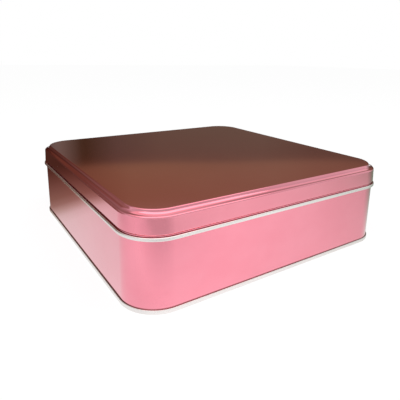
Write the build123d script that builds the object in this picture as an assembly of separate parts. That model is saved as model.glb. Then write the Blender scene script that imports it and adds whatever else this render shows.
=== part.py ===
from build123d import *
import os
from math import atan, hypot, radians, sin, tan

# A square slip-lid tin, in millimetres. A drawn lid with a curled lower edge slips over a wall bent from one
# strip, and a bottom panel is double-seamed to the wall. The origin is on the surface that the tin stands on,
# under its middle, with +Z up. The wall's side seam is in the middle of the +Y side.
# Sections are drawn in two coordinates: how far out from the wall's outer face, and how high.

# Overall sizes
body_width = 236.0  # across the wall's outer faces, both ways
corner_radius = 26.0  # of the wall's outer face, seen from above
overall_height = 67.9
sheet = 0.25  # thickness of the tinplate

# Lid
panel_inset = 4.6  # from the wall's face in to where the flat panel ends
panel_edge_radius = 0.8
step_drop = 2.8  # from the panel down to the inner edge of the ledge
step_slope = 66.0  # degrees from level
cove_share = 0.7  # how much of the slope, below the panel's rounded edge, the cove takes
ledge_fall = 0.5  # how much lower the ledge is at the shoulder
lid_clearance = 0.25  # air between the wall and the top of the skirt
shoulder_radius = 1.3
skirt_height = 11.0  # from the shoulder down to where the skirt turns in
skirt_flare = 0.45  # how much further out the skirt stands at its lower end
throat_depth = 0.45  # how far the skirt turns in above its curl
throat_drop = 0.9  # height over which it turns in
throat_radius = 0.5
curl_drop = 1.75  # from the skirt's lower end down to the top of the curl
curl_side_height = 0.9  # straight part of the curl's outer side
curl_outer_radius = 0.8
curl_end_gap = 0.55  # the dark slit between the curl's cut edge and the sheet behind it
curl_end_length = 0.05  # straight part at the curl's cut edge

# Body wall
rim_gap = 0.3  # air between the rim and the sloping ledge above it
rim_curl_radius = 0.94
rim_curl_flat = 0.02  # straight part along the rim's top, between its two rounds
rim_curl_end_gap = 0.25  # air between the curl's cut edge and the wall
side_seam_width = 4.6
side_seam_top_gap = 3.0  # from the rim down to the end of the seam's folds
side_seam_foot_gap = 1.2  # from the floor up to their other end

# Bottom panel and double seam
seam_height = 3.05
seam_gap = 0.05  # air between one layer of the seam and the next
seam_foot_radius = 0.5
fold_round_share = 0.96  # how much of a folded edge's width its two rounds take
hook_overlap = 1.1  # height over which the two hooks hold each other
floor_recess = 3.4  # from the resting surface up to the underside of the floor
floor_edge_radius = 0.8
floor_bead_inset = 12.0  # from the wall's face in to the middle of the stiffening bead
floor_bead_width = 5.0
floor_bead_top_width = 2.2
floor_bead_height = 0.8
floor_bead_radius = 1.2

# Places that follow from the sizes above
half_width = body_width / 2
straight_half = half_width - corner_radius
panel_end = panel_inset + panel_edge_radius
edge_length = panel_edge_radius * tan(radians(step_slope / 2))
edge_corner = edge_length - panel_inset
cove_corner = edge_corner + step_drop / tan(radians(step_slope))
cove_length = cove_share * (step_drop / sin(radians(step_slope)) - edge_length)
ledge_height = overall_height - step_drop - ledge_fall
skirt_face = lid_clearance + sheet
ledge_grade = ledge_fall / (skirt_face - cove_corner)
cove_radius = cove_length / tan((radians(step_slope) - atan(ledge_grade)) / 2)
skirt_foot = skirt_face + skirt_flare
skirt_bottom = ledge_height - skirt_height
throat_face = skirt_foot - throat_depth
curl_outside = throat_face + curl_end_gap + curl_end_length + curl_outer_radius
curl_top = skirt_bottom - curl_drop
curl_bottom = curl_top - curl_side_height - 2 * curl_outer_radius
curl_inner_radius = sheet + curl_end_gap
rim_reach = (rim_curl_radius + rim_gap + sheet) * hypot(1, ledge_grade)
rim_height = ledge_height + ledge_grade * (skirt_face + rim_curl_radius) - rim_reach + rim_curl_radius
rim_curl_width = 2 * rim_curl_radius + rim_curl_flat
layer_pitch = sheet + seam_gap
seam_face = 3 * layer_pitch
seam_top_radius = fold_round_share * (seam_face - seam_gap) / 2
hook_face = layer_pitch + seam_gap
wall_hook_radius = fold_round_share * hook_face / 2
chuck_face = -sheet - layer_pitch
wall_foot = layer_pitch
seam_middle = (wall_foot + seam_height) / 2
floor_top = floor_recess + sheet


def bent_sheet(points, radii, side):
    """The section of a bent sheet: one face through the points, the other to their left (1) or right (-1)."""
    corners = [Vector(*point) for point in points]
    ways = [(after - before).normalized() for before, after in zip(corners, corners[1:])]
    across = [Vector(-way.Y, way.X) * side for way in ways]
    far_corners = [corners[0] + across[0] * sheet]
    far_radii = []
    for corner, before, after, radius in zip(corners[1:], across, across[1:], radii):
        mitre = (before + after) / (1 + before.dot(after))
        turn = 1 if before.cross(after).Z > 0 else -1
        far_corners.append(corner + mitre * sheet)
        far_radii.append(radius - turn * side * sheet)
    far_corners.append(corners[-1] + across[-1] * sheet)
    near = FilletPolyline(*corners, radius=radii)
    far = FilletPolyline(*far_corners, radius=far_radii)
    cut_edges = [Line(near @ 0, far @ 0), Line(near @ 1, far @ 1)]
    return make_face([*near.edges(), *far.edges(), *cut_edges])


def swept_ring(section):
    """A section carried once round the tin, along four straight sides and four round corners."""
    start = Plane(origin=(half_width, straight_half, 0), x_dir=(1, 0, 0), z_dir=(0, -1, 0))
    placed = start * section
    side = extrude(placed, amount=2 * straight_half, dir=(0, -1, 0))
    corner = revolve(placed, Axis((straight_half, straight_half, 0), (0, 0, 1)), 90)
    quarter = side + corner
    return quarter + [Rot(0, 0, 90 * turn) * quarter for turn in range(1, 4)]


def rounded_plate(inset, underside):
    """A flat sheet that ends inset from the wall's outer face."""
    width = body_width - 2 * inset
    outline = RectangleRounded(width, width, corner_radius - inset)
    return Pos(0, 0, underside) * extrude(outline, amount=sheet)


def make_lid():
    """One drawn sheet, followed along its outer face: panel, coved step, sloping ledge, shoulder, skirt and curl."""
    points = (
        (-panel_end, overall_height),
        (edge_corner, overall_height),
        (cove_corner, ledge_height + ledge_fall),
        (skirt_face, ledge_height),
        (skirt_foot, skirt_bottom),
        (throat_face, skirt_bottom - throat_drop),
        (throat_face, curl_bottom + sheet),
        (curl_outside - sheet, curl_bottom + sheet),
        (curl_outside - sheet, curl_top - sheet),
        (throat_face + curl_end_gap, curl_top - sheet),
    )
    radii = (
        panel_edge_radius,
        cove_radius,
        shoulder_radius,
        throat_radius,
        throat_radius,
        curl_inner_radius - sheet,
        curl_outer_radius - sheet,
        curl_outer_radius - sheet,
    )
    ring = swept_ring(bent_sheet(points, radii, -1))
    return ring + rounded_plate(panel_end, overall_height - sheet)


def make_side_seam():
    """The lock seam's folds, flattened against the inside of the +Y wall."""
    depth = 2 * sheet
    foot = floor_top + side_seam_foot_gap
    height = rim_height - side_seam_top_gap - foot
    folds = Box(side_seam_width, depth, height, align=(Align.CENTER, Align.MAX, Align.MIN))
    return Pos(0, half_width - sheet, foot) * folds


def make_body_wall():
    """One strip, followed along its outer face: rim curl, wall, and the hook that the bottom is seamed to."""
    points = (
        (-sheet - rim_curl_end_gap, rim_height - rim_curl_width),
        (-rim_curl_width, rim_height - rim_curl_width),
        (-rim_curl_width, rim_height),
        (0, rim_height),
        (0, wall_foot + sheet),
        (hook_face, wall_foot + sheet),
        (hook_face, seam_middle + hook_overlap / 2),
    )
    radii = (rim_curl_radius, rim_curl_radius, rim_curl_radius, wall_hook_radius, wall_hook_radius)
    ring = swept_ring(bent_sheet(points, radii, -1))
    return ring + make_side_seam()


def make_bottom_panel():
    """One drawn sheet, followed along its lower face: floor, stiffening bead, chuck wall and seam."""
    bead_out = floor_bead_width / 2 - floor_bead_inset
    bead_in = -floor_bead_width / 2 - floor_bead_inset
    bead_top_out = floor_bead_top_width / 2 - floor_bead_inset
    bead_top_in = -floor_bead_top_width / 2 - floor_bead_inset
    plate_end = floor_bead_radius - bead_in
    points = (
        (-plate_end, floor_recess),
        (bead_in, floor_recess),
        (bead_top_in, floor_recess + floor_bead_height),
        (bead_top_out, floor_recess + floor_bead_height),
        (bead_out, floor_recess),
        (chuck_face, floor_recess),
        (chuck_face, 0),
        (seam_face, 0),
        (seam_face, seam_height),
        (seam_gap, seam_height),
        (seam_gap, seam_middle - hook_overlap / 2),
    )
    radii = (
        floor_bead_radius,
        floor_bead_radius,
        floor_bead_radius,
        floor_bead_radius,
        floor_edge_radius,
        seam_foot_radius,
        seam_foot_radius,
        seam_top_radius,
        seam_top_radius,
    )
    ring = swept_ring(bent_sheet(points, radii, 1))
    return ring + rounded_plate(plate_end, floor_recess)


os.makedirs("parts", exist_ok=True)
pieces = {"lid": make_lid(), "body_wall": make_body_wall(), "bottom_panel": make_bottom_panel()}
for name, piece in pieces.items():
    export_step(piece, f"parts/{name}.step")
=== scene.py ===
from math import cos, pi, radians, sin, tan

import bmesh
import bpy
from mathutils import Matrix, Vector


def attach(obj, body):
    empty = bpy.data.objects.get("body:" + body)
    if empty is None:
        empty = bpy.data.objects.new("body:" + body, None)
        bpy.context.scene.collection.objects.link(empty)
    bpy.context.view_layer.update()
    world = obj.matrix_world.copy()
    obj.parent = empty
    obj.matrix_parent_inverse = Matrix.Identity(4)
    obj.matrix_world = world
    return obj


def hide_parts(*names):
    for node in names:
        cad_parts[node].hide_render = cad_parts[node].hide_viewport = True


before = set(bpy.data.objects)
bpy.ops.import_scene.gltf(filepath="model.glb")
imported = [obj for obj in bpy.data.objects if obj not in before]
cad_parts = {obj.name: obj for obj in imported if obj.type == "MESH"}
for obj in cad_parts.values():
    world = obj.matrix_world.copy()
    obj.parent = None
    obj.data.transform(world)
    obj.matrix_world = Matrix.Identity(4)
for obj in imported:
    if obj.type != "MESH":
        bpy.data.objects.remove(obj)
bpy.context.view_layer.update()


# Body wall. One strip of thin tinplate, lacquered pink outside and bent into a square with round corners.
# Its top edge is rolled inwards, its foot is hooked outwards so that the bottom can be seamed to it, and
# its two ends are locked together in the middle of the back.
sheet = 0.00025
half_width = 0.118  # from the tin's middle to the wall's outer face
straight_half = 0.092  # from the middle of a side to where its round corner begins
same_place = 1e-6  # places closer than this count as one
seed_width = 0.001  # of the small square that is merged into a first point

rim_height = 0.064249
rim_curl_width = 0.0019
rim_curl_radius = 0.00094
rim_curl_end = 0.0005  # from the wall's face in to the curl's cut edge
hook_face = 0.00035
hook_foot = 0.00055
hook_top = 0.002225
hook_radius = 0.000168

# The wall's outer face, as how far out from the flat of the wall and how high
wall_line = (
    (-rim_curl_end, rim_height - rim_curl_width),
    (-rim_curl_width, rim_height - rim_curl_width),
    (-rim_curl_width, rim_height),
    (0.0, rim_height),
    (0.0, hook_foot),
    (hook_face, hook_foot),
    (hook_face, hook_top),
)
wall_rounds = (rim_curl_radius, rim_curl_radius, rim_curl_radius, hook_radius, hook_radius)

strips_along = 16  # faces along one straight side
strips_round = 24  # faces round one corner
bend_step = radians(10)  # turn of one face of a rounded bend
crease_angle = radians(40)  # sharper edges than this stay sharp


def pick(piece, wanted, kind="verts"):
    """In edit mode, selects only the vertices, edges or faces that the test takes."""
    bpy.ops.mesh.select_mode(type={"verts": "VERT", "edges": "EDGE", "faces": "FACE"}[kind])
    bpy.ops.mesh.select_all(action="DESELECT")
    mesh = bmesh.from_edit_mesh(piece.data)
    for element in getattr(mesh, kind):
        if wanted(element):
            element.select = True
    mesh.select_flush_mode()
    bmesh.update_edit_mesh(piece.data)


def draw_section(name, line, rounds):
    """A bent sheet's line of edges, drawn by extruding one vertex, with its corners rounded."""
    bpy.ops.object.select_all(action="DESELECT")
    places = [Vector((half_width + out, straight_half, height)) for out, height in line]
    bpy.ops.mesh.primitive_plane_add(size=seed_width, location=places[0])
    piece = bpy.context.object
    piece.name = piece.data.name = name
    bpy.ops.object.transform_apply(location=True, rotation=False, scale=False)
    bpy.ops.object.mode_set(mode="EDIT")
    bpy.ops.mesh.select_mode(type="VERT")
    bpy.ops.mesh.select_all(action="SELECT")
    bpy.ops.mesh.merge(type="CENTER")
    for before, after in zip(places, places[1:]):
        bpy.ops.mesh.extrude_vertices_move(TRANSFORM_OT_translate={"value": after - before})
    for before, corner, after, radius in zip(places, places[1:], places[2:], rounds):
        turn = (corner - before).angle(after - corner)
        pick(piece, lambda vertex: (vertex.co - corner).length < same_place)
        bpy.ops.mesh.bevel(
            offset_type="OFFSET",
            offset=radius * tan(turn / 2),
            segments=max(3, round(turn / bend_step)),
            profile=0.5,
            affect="VERTICES",
        )
    return piece


def carry_round(piece):
    """Carries the section round the tin: down each straight side, then about the next corner's axis."""
    bpy.ops.mesh.select_mode(type="VERT")
    bpy.ops.mesh.select_all(action="SELECT")
    way = Vector((0, -1, 0))
    axis = Vector((straight_half, -straight_half, 0))
    for side in range(4):
        step = way * 2 * straight_half / strips_along
        for _ in range(strips_along):
            bpy.ops.mesh.extrude_region_move(TRANSFORM_OT_translate={"value": step})
        bpy.ops.mesh.spin(steps=strips_round, angle=pi / 2, center=axis, axis=(0, 0, 1))
        way = Vector((way.y, -way.x, 0))
        axis = Vector((axis.y, -axis.x, 0))
    bpy.ops.mesh.select_all(action="SELECT")
    bpy.ops.mesh.remove_doubles(threshold=2 * same_place)
    bpy.ops.mesh.normals_make_consistent(inside=False)


def face_outwards(piece, place, outward):
    """Turns the whole sheet over if its face nearest the place looks the wrong way."""
    mesh = bmesh.from_edit_mesh(piece.data)
    nearest = min(mesh.faces, key=lambda face: (face.calc_center_median() - place).length)
    if nearest.normal.dot(outward) < 0:
        bpy.ops.mesh.select_all(action="SELECT")
        bpy.ops.mesh.flip_normals()


def thicken(piece, *finishes):
    """Thickens the sheet behind its drawn face, which takes the first finish; the back takes the last."""
    bpy.ops.object.mode_set(mode="OBJECT")
    for finish in finishes:
        piece.data.materials.append(finish)
    bpy.ops.object.modifier_add(type="SOLIDIFY")
    solid = piece.modifiers[-1]
    solid.thickness = sheet
    solid.offset = -1
    solid.use_even_offset = True
    solid.material_offset = solid.material_offset_rim = len(finishes) - 1
    bpy.ops.object.modifier_apply(modifier=solid.name)
    bpy.ops.object.shade_smooth_by_angle(angle=crease_angle)
    bpy.ops.object.modifier_add(type="WEIGHTED_NORMAL")
    weighted = piece.modifiers[-1]
    weighted.keep_sharp = True
    bpy.ops.object.modifier_apply(modifier=weighted.name)


def new_finish(name):
    """A material, its nodes, its one Principled shader, and the object's own coordinates."""
    finish = bpy.data.materials.new(name)
    finish.use_nodes = True
    tree = finish.node_tree
    place = tree.nodes.new("ShaderNodeTexCoord").outputs["Object"]
    return finish, tree, tree.nodes["Principled BSDF"], place


def stretched_noise(tree, place, stretch, detail=3.0):
    """Noise on the object's coordinates; stretch is how many patches a metre holds along X, Y and Z."""
    mapping = tree.nodes.new("ShaderNodeMapping")
    mapping.inputs["Scale"].default_value = stretch
    noise = tree.nodes.new("ShaderNodeTexNoise")
    noise.inputs["Scale"].default_value = 1.0
    noise.inputs["Detail"].default_value = detail
    noise.inputs["Roughness"].default_value = 0.55
    tree.links.new(place, mapping.inputs["Vector"])
    tree.links.new(mapping.outputs["Vector"], noise.inputs["Vector"])
    return noise.outputs["Fac"]


def spread(tree, value, low, high, start=0.3, end=0.7):
    """Values led smoothly from low to high while the given value goes from start to end."""
    ranged = tree.nodes.new("ShaderNodeMapRange")
    ranged.interpolation_type = "SMOOTHSTEP"
    for socket, number in zip(("From Min", "From Max", "To Min", "To Max"), (start, end, low, high)):
        ranged.inputs[socket].default_value = number
    tree.links.new(value, ranged.inputs["Value"])
    return ranged.outputs["Result"]


def two_tones(tree, value, first, second):
    """A colour led from the first, at 0, to the second, at 1; each is a colour or a socket."""
    blend = tree.nodes.new("ShaderNodeMix")
    blend.data_type = "RGBA"
    tree.links.new(value, blend.inputs["Factor"])
    for socket, tone in (("A", first), ("B", second)):
        if isinstance(tone, tuple):
            blend.inputs[socket].default_value = (*tone, 1)
        else:
            tree.links.new(tone, blend.inputs[socket])
    return blend.outputs["Result"]


def apart(tree, place):
    """A place's X, Y and Z."""
    split = tree.nodes.new("ShaderNodeSeparateXYZ")
    tree.links.new(place, split.inputs[0])
    return split.outputs


def raised(tree, value, height, under=None):
    """Bump from a pattern, height metres high, on another bump where one is given."""
    bump = tree.nodes.new("ShaderNodeBump")
    bump.inputs["Strength"].default_value = 1.0
    bump.inputs["Distance"].default_value = height
    tree.links.new(value, bump.inputs["Height"])
    if under:
        tree.links.new(under, bump.inputs["Normal"])
    return bump.outputs["Normal"]


# Pink lacquer on bright tinplate: metal seen through a clear pink coat, with the sheet's fine rolled grain,
# a faint cloudiness and the shallow waves of a thin flat sheet. Just above the bottom seam the pink is
# painted
# dark: a fine line of painted shade for the shaded crevice between the wall and the seam's top.
deep_pink = (0.97, 0.292, 0.380)
pale_pink = (0.99, 0.318, 0.408)
# Colour of the painted shade line in the crevice above the bottom seam
seam_shade_pink = (0.40, 0.11, 0.13)
seam_shade_full = 0.0036  # up to here the painted seam shade is full
seam_shade_clear = 0.0039  # and from here the painted seam shade has faded out
lacquer_clouds = (26, 26, 40)  # patches to the metre, like the next two
lacquer_grain = (160, 1000, 5200)
lacquer_waves = (9, 9, 9)
lacquer_grain_height = 0.0000006
lacquer_wave_height = 0.00006

pink_lacquer, tree, shader, place = new_finish("pink_lacquer")
shader.inputs["Metallic"].default_value = 1.0
shader.inputs["Coat Weight"].default_value = 1.0
shader.inputs["Coat Roughness"].default_value = 0.06
shader.inputs["Coat IOR"].default_value = 1.5
cloudiness = stretched_noise(tree, place, lacquer_clouds)
pink = two_tones(tree, spread(tree, cloudiness, 0, 1), deep_pink, pale_pink)
# Painted shade: the coat is darkened in a fine line just above the bottom seam, where the crevice lies in
# shade
seam_shade_mask = spread(tree, apart(tree, place)["Z"], 1, 0, seam_shade_full, seam_shade_clear)
tree.links.new(two_tones(tree, seam_shade_mask, pink, seam_shade_pink), shader.inputs["Base Color"])
grain = stretched_noise(tree, place, lacquer_grain, detail=2.0)
tree.links.new(spread(tree, grain, 0.07, 0.10), shader.inputs["Roughness"])
waves = stretched_noise(tree, place, lacquer_waves, detail=1.0)
fine_grain = raised(tree, grain, lacquer_grain_height)
tree.links.new(raised(tree, waves, lacquer_wave_height, fine_grain), shader.inputs["Normal"])

# Bare tinplate: bright steel with a rolled grain and faint clouded patches where the tin has flowed
dull_tin = (0.885, 0.845, 0.830)
bright_tin = (0.925, 0.885, 0.870)
tin_clouds = (24, 60, 60)
tin_grain = (120, 2400, 4200)
tin_grain_height = 0.000001

bare_tinplate, tree, shader, place = new_finish("bare_tinplate")
shader.inputs["Metallic"].default_value = 1.0
cloudiness = stretched_noise(tree, place, tin_clouds, detail=1.5)
tin = two_tones(tree, spread(tree, cloudiness, 0, 1), dull_tin, bright_tin)
tree.links.new(tin, shader.inputs["Base Color"])
grain = stretched_noise(tree, place, tin_grain, detail=2.0)
tree.links.new(spread(tree, grain, 0.26, 0.32), shader.inputs["Roughness"])
tree.links.new(raised(tree, grain, tin_grain_height), shader.inputs["Normal"])

body_wall = draw_section("wall_strip", wall_line, wall_rounds)
carry_round(body_wall)
face_outwards(body_wall, Vector((half_width, 0, rim_height / 2)), Vector((1, 0, 0)))

# The joint shows outside as one fine groove, pressed in between the bottom seam and the rim
groove_foot = 0.0052
groove_top = 0.0606
groove_run_out = 0.0006  # height over which it ends
groove_depth = 0.00012
groove_floor_half = 0.0002
groove_mouth_half = 0.0006
groove_reach = 0.012  # only faces nearer to the joint than this are cut


def beside_joint(face):
    """Whether a face is on the outside of the +Y wall, near the joint."""
    middle = face.calc_center_median()
    return middle.y > half_width - sheet / 2 and abs(middle.x) < groove_reach


for level in (groove_foot - groove_run_out, groove_foot, groove_top, groove_top + groove_run_out):
    pick(body_wall, beside_joint, "faces")
    bpy.ops.mesh.bisect(plane_co=(0, 0, level), plane_no=(0, 0, 1))
for side in (-groove_mouth_half, -groove_floor_half, groove_floor_half, groove_mouth_half):
    pick(body_wall, beside_joint, "faces")
    bpy.ops.mesh.bisect(plane_co=(side, 0, 0), plane_no=(1, 0, 0))
pick(
    body_wall,
    lambda vertex: vertex.co.y > half_width - sheet / 2
    and abs(vertex.co.x) < groove_floor_half + same_place
    and groove_foot - same_place < vertex.co.z < groove_top + same_place,
)
bpy.ops.transform.translate(value=(0, -groove_depth, 0))
thicken(body_wall, pink_lacquer, bare_tinplate)

# Inside, the two hooked edges are hammered flat against the wall
folds_width = 0.0046
folds_height = 0.0564
folds_foot = 0.00485
folds_face = half_width - 3 * sheet  # their inner face
folds_edge_round = 0.0004
upper_fold_end = 0.0007  # where the upper fold ends on the lower one
upper_fold_round = 0.00025
upper_fold_dip = 0.00012


def upright_on_face(edge):
    """Whether an edge runs up the folds' inner face."""
    one, other = edge.verts
    on_face = max(one.co.y, other.co.y) < folds_face + same_place
    return on_face and abs(one.co.x - other.co.x) < same_place


def at_fold_end(vertex):
    """Whether a vertex stands where the upper fold ends."""
    return abs(vertex.co.x - upper_fold_end) < same_place


bpy.ops.object.select_all(action="DESELECT")
bpy.ops.mesh.primitive_plane_add(
    size=1,
    location=(0, half_width - sheet, folds_foot + folds_height / 2),
    rotation=(pi / 2, 0, 0),
)
folds = bpy.context.object
folds.scale = (folds_width, folds_height, 1)
bpy.ops.object.transform_apply(location=True, rotation=True, scale=True)
bpy.ops.object.mode_set(mode="EDIT")
bpy.ops.mesh.select_all(action="SELECT")
bpy.ops.mesh.bisect(plane_co=(upper_fold_end, 0, 0), plane_no=(1, 0, 0))
bpy.ops.mesh.select_all(action="SELECT")
bpy.ops.mesh.extrude_region_move(TRANSFORM_OT_translate={"value": (0, -2 * sheet, 0)})
bpy.ops.mesh.select_all(action="SELECT")
bpy.ops.mesh.normals_make_consistent(inside=False)
pick(folds, lambda edge: upright_on_face(edge) and not at_fold_end(edge.verts[0]), "edges")
bpy.ops.mesh.bevel(offset=folds_edge_round, segments=5, profile=0.5, affect="EDGES")
pick(folds, lambda edge: upright_on_face(edge) and at_fold_end(edge.verts[0]), "edges")
bpy.ops.mesh.bevel(offset=upper_fold_round, segments=2, profile=0.5, affect="EDGES")
pick(folds, lambda vertex: vertex.co.y < folds_face + same_place and at_fold_end(vertex))
bpy.ops.transform.translate(value=(0, upper_fold_dip, 0))
bpy.ops.object.mode_set(mode="OBJECT")
folds.data.materials.append(bare_tinplate)
bpy.ops.object.shade_smooth_by_angle(angle=crease_angle)
bpy.ops.object.select_all(action="DESELECT")
folds.select_set(True)
body_wall.select_set(True)
bpy.context.view_layer.objects.active = body_wall
bpy.ops.object.join()
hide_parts("body_wall")
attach(body_wall, "tin")


# Bottom panel. One bright drawn sheet: a flat floor with a stiffening bead near its edge, a low wall down to
# the ring that the tin stands on, and the outer layer of the double seam, folded over the wall's hook.
floor_height = 0.0034  # of the floor's underside
floor_bead_middle = 0.012  # from the wall's face in to the middle of the bead
floor_bead_half = 0.0025
floor_bead_top_half = 0.0011
floor_bead_height = 0.0008
floor_bead_radius = 0.0012
floor_edge = 0.00055  # from the wall's face in to the low wall
floor_edge_radius = 0.0008
ring_radius = 0.0005
seam_face = 0.0009
seam_height = 0.00305
seam_gap = 0.00005
seam_top_radius = 0.000408
seam_end = 0.001125  # height of the fold's cut edge
floor_plate_end = floor_bead_middle + floor_bead_half + floor_bead_radius

bottom_line = (
    (-floor_plate_end, floor_height),
    (-floor_bead_middle - floor_bead_half, floor_height),
    (-floor_bead_middle - floor_bead_top_half, floor_height + floor_bead_height),
    (-floor_bead_middle + floor_bead_top_half, floor_height + floor_bead_height),
    (-floor_bead_middle + floor_bead_half, floor_height),
    (-floor_edge, floor_height),
    (-floor_edge, 0.0),
    (seam_face, 0.0),
    (seam_face, seam_height),
    (seam_gap, seam_height),
    (seam_gap, seam_end),
)
bottom_rounds = (
    floor_bead_radius,
    floor_bead_radius,
    floor_bead_radius,
    floor_bead_radius,
    floor_edge_radius,
    ring_radius,
    ring_radius,
    seam_top_radius,
    seam_top_radius,
)


def close_flat(piece, inset, height):
    """Closes the sheet across its middle, inside the section's inner end."""
    reach = half_width - inset + 10 * same_place

    def inner_end(edge):
        level = all(abs(end.co.z - height) < same_place for end in edge.verts)
        inside = all(max(abs(end.co.x), abs(end.co.y)) < reach for end in edge.verts)
        return edge.is_boundary and level and inside

    pick(piece, inner_end, "edges")
    bpy.ops.mesh.edge_face_add()
    bpy.ops.mesh.select_all(action="SELECT")
    bpy.ops.mesh.normals_make_consistent(inside=False)


bottom_panel = draw_section("bottom_sheet", bottom_line, bottom_rounds)
carry_round(bottom_panel)
close_flat(bottom_panel, floor_plate_end, floor_height)
face_outwards(bottom_panel, Vector((0, 0, floor_height)), Vector((0, 0, -1)))
thicken(bottom_panel, bare_tinplate)
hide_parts("bottom_panel")
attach(bottom_panel, "tin")


# Lid. One drawn sheet, pink outside and bare inside: a flat panel, a coved step down to a narrow ledge, a
# rounded shoulder, a skirt that flares a little, and an outward curl that shows the sheet's bare inner face.
panel_end = 0.0054  # from the wall's face in to where the line starts, on the flat panel
panel_height = 0.0679
panel_edge = 0.00408
panel_edge_radius = 0.0008
step_foot = 0.002834
step_foot_height = 0.0651
cove_radius = 0.00325
ledge_height = 0.0646
shoulder_radius = 0.0013
skirt_face = 0.0005
skirt_foot = 0.00095
skirt_bottom = 0.0536
throat_height = 0.0527
throat_radius = 0.0005
curl_face = 0.00165  # here the line runs inside the curl, which is one sheet larger all round
curl_bottom = 0.0496
curl_top = 0.0516
curl_end = 0.00105
curl_radius = 0.00055

lid_line = (
    (-panel_end, panel_height),
    (-panel_edge, panel_height),
    (-step_foot, step_foot_height),
    (skirt_face, ledge_height),
    (skirt_foot, skirt_bottom),
    (skirt_face, throat_height),
    (skirt_face, curl_bottom),
    (curl_face, curl_bottom),
    (curl_face, curl_top),
    (curl_end, curl_top),
)
lid_rounds = (
    panel_edge_radius,
    cove_radius,
    shoulder_radius,
    throat_radius,
    throat_radius,
    curl_radius,
    curl_radius,
    curl_radius,
)

lid = draw_section("lid_sheet", lid_line, lid_rounds)
carry_round(lid)
close_flat(lid, panel_end, panel_height)
face_outwards(lid, Vector((0, 0, panel_height)), Vector((0, 0, 1)))
thicken(lid, pink_lacquer, bare_tinplate)
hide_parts("lid")
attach(lid, "lid")


# Studio. A sheet of white paper under the tin, which keeps a pale shadow, white surroundings that light it
# from all round, and one large soft lamp over the front.
def worked(tree, operation, first, second=0):
    """One sum on a value and another value or a plain number."""
    sum_node = tree.nodes.new("ShaderNodeMath")
    sum_node.operation = operation
    tree.links.new(first, sum_node.inputs[0])
    if isinstance(second, (int, float)):
        sum_node.inputs[1].default_value = second
    else:
        tree.links.new(second, sum_node.inputs[1])
    return sum_node.outputs["Value"]


def seen_directly(tree):
    """1 for what the camera sees, itself or in polished metal, and 0 for light on its way to a surface."""
    path = tree.nodes.new("ShaderNodeLightPath").outputs
    in_front_or_mirrored = worked(tree, "MAXIMUM", path["Is Camera Ray"], path["Is Glossy Ray"])
    return worked(tree, "MAXIMUM", in_front_or_mirrored, path["Is Transmission Ray"])


def chosen(tree, choice, first, second, output):
    """Sends the first shader to the output where the choice is 0, and the second where it is 1."""
    mix = tree.nodes.new("ShaderNodeMixShader")
    tree.links.new(choice, mix.inputs["Fac"])
    tree.links.new(first.outputs[0], mix.inputs[1])
    tree.links.new(second.outputs[0], mix.inputs[2])
    tree.links.new(mix.outputs[0], tree.nodes[output].inputs["Surface"])


bpy.ops.object.select_all(action="DESELECT")
bpy.ops.mesh.primitive_plane_add(size=12, location=(0, 0, -0.0001))
paper = bpy.context.object
paper.name = "paper_floor"
white_paper = bpy.data.materials.new("white_paper")
white_paper.use_nodes = True
tree = white_paper.node_tree
tree.nodes.remove(tree.nodes["Principled BSDF"])
plain = tree.nodes.new("ShaderNodeBsdfDiffuse")
plain.inputs["Color"].default_value = (0.9, 0.9, 0.9, 1)
faint = tree.nodes.new("ShaderNodeBsdfDiffuse")
faint.inputs["Color"].default_value = (0.25, 0.25, 0.25, 1)
glow = tree.nodes.new("ShaderNodeEmission")
glow.inputs["Strength"].default_value = 0.87
both = tree.nodes.new("ShaderNodeAddShader")
tree.links.new(faint.outputs[0], both.inputs[0])
tree.links.new(glow.outputs[0], both.inputs[1])
chosen(tree, seen_directly(tree), plain, both, "Material Output")
paper.data.materials.append(white_paper)

world = bpy.data.worlds.new("white_surroundings")
bpy.context.scene.world = world
world.use_nodes = True
tree = world.node_tree
fill = tree.nodes["Background"]
fill.inputs["Strength"].default_value = 0.45
white = tree.nodes.new("ShaderNodeBackground")
white.inputs["Strength"].default_value = 1.0
for background in (fill, white):
    background.inputs["Color"].default_value = (1, 1, 1, 1)
chosen(tree, seen_directly(tree), fill, white, "World Output")

lit_place = Vector((0, 0, 0.03))
bpy.ops.object.light_add(type="AREA", location=(-0.1, -0.55, 1.35))
soft_lamp = bpy.context.object
soft_lamp.name = "soft_lamp"
soft_lamp.rotation_euler = (lit_place - soft_lamp.location).to_track_quat("-Z", "Y").to_euler()
soft_lamp.data.shape = "RECTANGLE"
soft_lamp.data.size = 2.6
soft_lamp.data.size_y = 1.0
soft_lamp.data.energy = 5.5


# Mirrored room. The lacquer mirrors what is round the tin: a dim brown room behind, a grey wall in front, a
# warm white ceiling, and a floor that darkens to the left, to the right and under the camera. These cards
# carry those tones and show only as reflections in metal.
room_radius = 4
room_start = -68  # degrees round from +Y towards +X, like the next two
room_turn = 178
room_end = room_start + room_turn
wall_grey = (0.71, 0.80, 0.77)
black = (0.0, 0.0, 0.0)


def card_finish(name):
    """A card's own light, which a share between 0 and 1 fades out, with its colour and share to be set."""
    finish = bpy.data.materials.new(name)
    finish.use_nodes = True
    tree = finish.node_tree
    tree.nodes.remove(tree.nodes["Principled BSDF"])
    place = tree.nodes.new("ShaderNodeTexCoord").outputs["Object"]
    light = tree.nodes.new("ShaderNodeEmission")
    clear = tree.nodes.new("ShaderNodeBsdfTransparent")
    fade = tree.nodes.new("ShaderNodeMixShader")
    tree.links.new(clear.outputs[0], fade.inputs[1])
    tree.links.new(light.outputs[0], fade.inputs[2])
    tree.links.new(fade.outputs[0], tree.nodes["Material Output"].inputs["Surface"])
    return finish, tree, place, light.inputs["Color"], fade.inputs["Fac"]


def shown_in_metal(card, finish):
    """Gives a card its finish and hides it from everything but reflections."""
    card.data.materials.append(finish)
    card.visible_camera = card.visible_diffuse = card.visible_transmission = False
    card.visible_shadow = card.visible_volume_scatter = False


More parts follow.
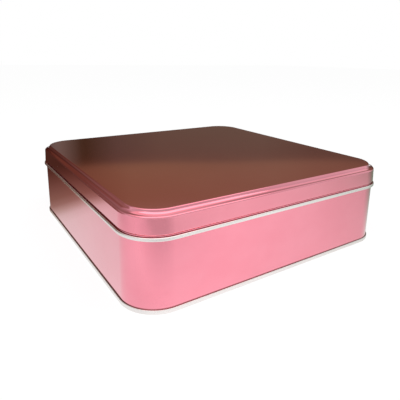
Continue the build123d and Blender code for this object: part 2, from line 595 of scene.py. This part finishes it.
def curtain(name, start, turn, height):
    """A curved card round the room; its start and turn are in degrees, the start from +Y towards +X."""
    bpy.ops.object.select_all(action="DESELECT")
    bpy.ops.mesh.primitive_plane_add(size=seed_width)
    card = bpy.context.object
    card.name = name
    bpy.ops.object.mode_set(mode="EDIT")
    bpy.ops.mesh.select_mode(type="VERT")
    bpy.ops.mesh.select_all(action="SELECT")
    bpy.ops.mesh.merge(type="CENTER")
    foot = (room_radius * sin(radians(start)), room_radius * cos(radians(start)), 0)
    bpy.ops.transform.translate(value=foot)
    bpy.ops.mesh.extrude_vertices_move(TRANSFORM_OT_translate={"value": (0, 0, height)})
    bpy.ops.mesh.select_all(action="SELECT")
    bpy.ops.mesh.spin(steps=64, angle=radians(turn), center=(0, 0, 0), axis=(0, 0, 1))
    bpy.ops.object.mode_set(mode="OBJECT")
    return card


def level_card(name, corner, far_corner, height):
    """A level card between two corners."""
    bpy.ops.object.select_all(action="DESELECT")
    bpy.ops.mesh.primitive_plane_add(size=1)
    card = bpy.context.object
    card.name = name
    card.scale = (far_corner[0] - corner[0], far_corner[1] - corner[1], 1)
    card.location = ((corner[0] + far_corner[0]) / 2, (corner[1] + far_corner[1]) / 2, height)
    bpy.ops.object.transform_apply(location=True, rotation=False, scale=True)
    return card


def tones_along(tree, value, stops):
    """A run of colours; each stop is a value and a colour."""
    low, high = stops[0][0], stops[-1][0]
    ranged = tree.nodes.new("ShaderNodeMapRange")
    ranged.inputs["From Min"].default_value = low
    ranged.inputs["From Max"].default_value = high
    tree.links.new(value, ranged.inputs["Value"])
    ramp = tree.nodes.new("ShaderNodeValToRGB")
    elements = ramp.color_ramp.elements
    while len(elements) < len(stops):
        elements.new(0.5)
    for element, (at, colour) in zip(elements, stops):
        element.position = (at - low) / (high - low)
        element.color = (*colour, 1)
    tree.links.new(ranged.outputs["Result"], ramp.inputs["Fac"])
    return ramp.outputs["Color"]


def slanted(tree, place, way):
    """How far a place lies along a level direction."""
    product = tree.nodes.new("ShaderNodeVectorMath")
    product.operation = "DOT_PRODUCT"
    product.inputs[1].default_value = (*way, 0)
    tree.links.new(place, product.inputs[0])
    return product.outputs["Value"]


# The room behind, by degrees round from +Y: dark up to a little over a metre, brown above it, and a paler
# ceiling. At both ends it runs into the wall in front.
dark_tones = (
    (room_start, wall_grey),
    (-62, (0.300, 0.260, 0.220)),
    (-50, (0.300, 0.250, 0.210)),
    (-30, (0.260, 0.190, 0.150)),
    (-20, (0.090, 0.045, 0.030)),
    (-8, (0.042, 0.012, 0.007)),
    (8.5, (0.042, 0.012, 0.007)),
    (11, (0.150, 0.130, 0.110)),
    (12, (0.140, 0.115, 0.090)),
    (15, (0.050, 0.026, 0.012)),
    (20, (0.100, 0.066, 0.050)),
    (27, (0.125, 0.088, 0.063)),
    (43, (0.130, 0.095, 0.068)),
    (51, (0.110, 0.070, 0.050)),
    (80, (0.090, 0.060, 0.042)),
    (room_end, wall_grey),
)
brown_tones = (
    (room_start, wall_grey),
    (-60, (0.300, 0.240, 0.180)),
    (-40, (0.260, 0.190, 0.140)),
    (-20, (0.200, 0.115, 0.080)),
    (-9, (0.130, 0.055, 0.032)),
    (10, (0.130, 0.055, 0.032)),
    (16, (0.187, 0.100, 0.055)),
    (22, (0.224, 0.142, 0.080)),
    (45, (0.220, 0.148, 0.092)),
    (60, (0.188, 0.100, 0.065)),
    (80, (0.190, 0.120, 0.085)),
    (room_end, wall_grey),
)
ceiling_tones = (
    (room_start, wall_grey),
    (-40, (0.450, 0.420, 0.400)),
    (-10, (0.320, 0.270, 0.240)),
    (14, (0.260, 0.200, 0.170)),
    (24, (0.740, 0.700, 0.690)),
    (42, (0.740, 0.700, 0.690)),
    (49, (0.400, 0.350, 0.340)),
    (66, (0.420, 0.380, 0.360)),
    (84, (0.850, 0.800, 0.780)),
    (room_end, wall_grey),
)

room_height = 5.8
brown_start = 1.112  # height up to which the room is dark
brown_full = 1.152
brown_drop = 0.13  # how much lower the brown starts towards +X
brown_rise = 0.14  # how much higher it starts from the middle towards -X
ceiling_start = 1.55
ceiling_full = 2.6

room = curtain("room_behind", room_start, room_turn, room_height)
brown_room, tree, place, tone, share = card_finish("brown_room")
across, back, up = apart(tree, place)
turned = worked(tree, "DEGREES", worked(tree, "ARCTAN2", across, back))
dark = tones_along(tree, turned, dark_tones)
brown = tones_along(tree, turned, brown_tones)
ceiling = tones_along(tree, turned, ceiling_tones)
level = worked(tree, "ADD", up, spread(tree, turned, 0.0, brown_drop, 33, 60))
level = worked(tree, "ADD", level, spread(tree, turned, -brown_rise, 0.0, 9, 12))
lower_room = two_tones(tree, spread(tree, level, 0, 1, brown_start, brown_full), dark, brown)
towards_ceiling = spread(tree, up, 0, 1, ceiling_start, ceiling_full)
tree.links.new(two_tones(tree, towards_ceiling, lower_room, ceiling), tone)
tree.links.new(spread(tree, up, 1, 0, 4.3, 5.75), share)
shown_in_metal(room, brown_room)

# The wall in front, darker from a metre up
upper_grey = (0.60, 0.66, 0.64)
front_height = 4.6

front = curtain("room_in_front", room_end, 360 - room_turn, front_height)
grey_wall, tree, place, tone, share = card_finish("grey_wall")
up = apart(tree, place)["Z"]
tree.links.new(two_tones(tree, spread(tree, up, 0, 1, 1.1, 1.9), wall_grey, upper_grey), tone)
tree.links.new(spread(tree, up, 1, 0, 3.0, 4.5), share)
shown_in_metal(front, grey_wall)

# The ceiling overhead, a warm white, just under the top of the room behind
overhead_height = 5.79
overhead = level_card("ceiling_overhead", (-6, -6), (6, 6), overhead_height)
warm_white, tree, place, tone, share = card_finish("warm_white")
tone.default_value = (0.96, 0.82, 0.79, 1)
share.default_value = 1.0
shown_in_metal(overhead, warm_white)

# The floor beside and behind the left side, where the light hardly reaches
dim_way = (0.4, 1)
dim_tones = (
    (-0.21, (1.00, 1.00, 1.00)),
    (-0.15, (0.90, 0.90, 0.90)),
    (-0.09, (0.81, 0.81, 0.80)),
    (-0.03, (0.78, 0.77, 0.76)),
    (0.006, (0.74, 0.72, 0.70)),
    (0.024, (0.65, 0.61, 0.58)),
    (0.040, (0.46, 0.38, 0.33)),
    (0.055, (0.31, 0.21, 0.17)),
    (0.075, (0.23, 0.135, 0.100)),
    (0.105, (0.18, 0.095, 0.070)),
    (0.135, (0.135, 0.064, 0.045)),
    (0.170, (0.095, 0.040, 0.027)),
    (0.210, (0.065, 0.027, 0.017)),
)

left_floor_front = -0.14
left_floor_end = -0.09
left_floor = level_card("dim_floor_left", (-1.5, left_floor_front), (left_floor_end, 3.9), 0.0004)
dim_left, tree, place, tone, share = card_finish("dim_left")
tree.links.new(tones_along(tree, slanted(tree, place, dim_way), dim_tones), tone)
across, back, up = apart(tree, place)
from_the_front = spread(tree, back, 0, 1, left_floor_front, -0.11)
to_the_right = spread(tree, across, 1, 0, -0.125, left_floor_end)
tree.links.new(worked(tree, "MULTIPLY", from_the_front, to_the_right), share)
shown_in_metal(left_floor, dim_left)

# It lightens again behind the tin, towards the right
back_floor_end = 0.10
back_floor = level_card("dim_floor_back", (-0.13, 0.1185), (back_floor_end, 1.4), 0.0006)
dim_back, tree, place, tone, share = card_finish("dim_back")
tree.links.new(tones_along(tree, slanted(tree, place, dim_way), dim_tones), tone)
tree.links.new(spread(tree, apart(tree, place)["X"], 1, 0, left_floor_end, back_floor_end), share)
shown_in_metal(back_floor, dim_back)

# The floor at the right, where the light falls off
right_way = (0.7, 0.7)
right_shares = (
    (-0.13, 0.0),
    (-0.09, 0.07),
    (-0.056, 0.14),
    (-0.028, 0.22),
    (0.0, 0.30),
    (0.028, 0.42),
    (0.056, 0.54),
    (0.084, 0.62),
    (0.112, 0.70),
    (0.14, 0.77),
    (0.25, 0.86),
    (0.50, 0.90),
)

right_floor_start = -0.11
right_floor = level_card("dim_floor_right", (right_floor_start, -1.2), (1.5, 1.2), 0.0008)
dim_right, tree, place, tone, share = card_finish("dim_right")
tone.default_value = (0.02, 0.12, 0.03, 1)
grey_shares = [(at, (amount, amount, amount)) for at, amount in right_shares]
dimmed = tones_along(tree, slanted(tree, place, right_way), grey_shares)
across, back, up = apart(tree, place)
from_the_left = spread(tree, across, 0, 1, right_floor_start, -0.02)
from_behind = spread(tree, back, 1, 0, 0.05, 0.30)
beside = worked(tree, "MULTIPLY", from_the_left, from_behind)
tree.links.new(worked(tree, "MULTIPLY", dimmed, beside), share)
shown_in_metal(right_floor, dim_right)

# The floor farther off in front and at the left, and the shade under the camera
far_floor = level_card("far_floor", (-0.6, -1.6), (1.2, -0.2), 0.0012)
far_tone, tree, place, tone, share = card_finish("far_tone")
tone.default_value = (0.0, 0.3, 0.1, 1)
tree.links.new(spread(tree, apart(tree, place)["Y"], 0.12, 0.0, -0.26, -0.205), share)
shown_in_metal(far_floor, far_tone)

outer_floor = level_card("outer_floor_left", (-1.5, -1.2), (-0.18, 0.11), 0.0020)
outer_tone, tree, place, tone, share = card_finish("outer_tone")
tone.default_value = (*black, 1)
across, back, up = apart(tree, place)
outward = spread(tree, across, 0.15, 0.0, -0.27, -0.19)
tree.links.new(worked(tree, "MULTIPLY", outward, spread(tree, back, 1, 0, 0.04, 0.11)), share)
shown_in_metal(outer_floor, outer_tone)

shade_middle = (-0.15, -0.29, 0.0016)
shade_radius = 0.21
shade_end = 0.205  # where it has faded out, just inside the card's edge
bpy.ops.object.select_all(action="DESELECT")
bpy.ops.mesh.primitive_circle_add(vertices=48, radius=shade_radius, fill_type="NGON", location=shade_middle)
camera_shade = bpy.context.object
camera_shade.name = "shade_under_camera"
dim_spot, tree, place, tone, share = card_finish("dim_spot")
tone.default_value = (*black, 1)
distance = tree.nodes.new("ShaderNodeVectorMath")
distance.operation = "LENGTH"
tree.links.new(place, distance.inputs[0])
tree.links.new(spread(tree, distance.outputs["Value"], 0.31, 0.0, 0.04, shade_end), share)
shown_in_metal(camera_shade, dim_spot)


# Camera. A little above the lid, looking over the tin's near corner. Its place, turn, lens and shift come
# from a fit to the tin's edges in the photograph, so that the picture has the photograph's frame.
bpy.ops.object.camera_add(location=(-0.20237, -0.31329, 0.15584))
camera = bpy.context.object
camera.name = "camera"
camera.rotation_euler = (radians(76.1054), radians(-0.8988), radians(-33.4025))
camera.data.lens = 36.344
camera.data.sensor_width = 36.0
camera.data.shift_x = -0.00975
camera.data.shift_y = -0.10934
bpy.context.scene.camera = camera

bpy.context.scene.view_settings.view_transform = "Standard"
